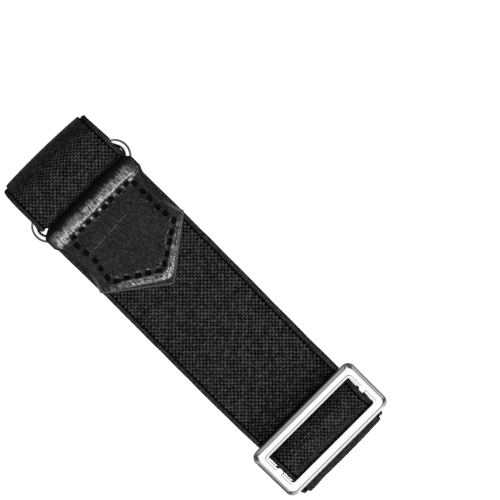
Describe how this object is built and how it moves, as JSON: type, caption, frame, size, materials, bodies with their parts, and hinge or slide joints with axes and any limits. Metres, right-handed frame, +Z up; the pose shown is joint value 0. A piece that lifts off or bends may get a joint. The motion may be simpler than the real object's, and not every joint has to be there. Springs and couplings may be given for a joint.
{
  "type": "shirt sleeve holder",
  "caption": "Adjustable elastic sleeve garter: a double loop of black elastic joined by a pointed leather tab on an oblong ring, set to length by a chrome slide.",
  "frame": {"origin": "on the surface that the loop lies on, below the middle of its box", "axes": "+X along the strap from the ring to the slide, +Y across the strap, +Z up from the surface"},
  "size_m": [0.117, 0.0368, 0.0364],
  "materials": {
    "elastic": "black woven elastic, fine ribs across the strap, narrow plain selvedges",
    "leather": "black leather, fine grain, half matt, stitched in black thread",
    "ring_metal": "bright chrome plated wire",
    "slide_metal": "bright chrome plate over a die-cast frame"
  },
  "bodies": {
    "root": {"elastic_band": "elastic", "leather_tab": "leather", "ring": "ring_metal", "slide": "slide_metal"}
  },
  "joints": []
}
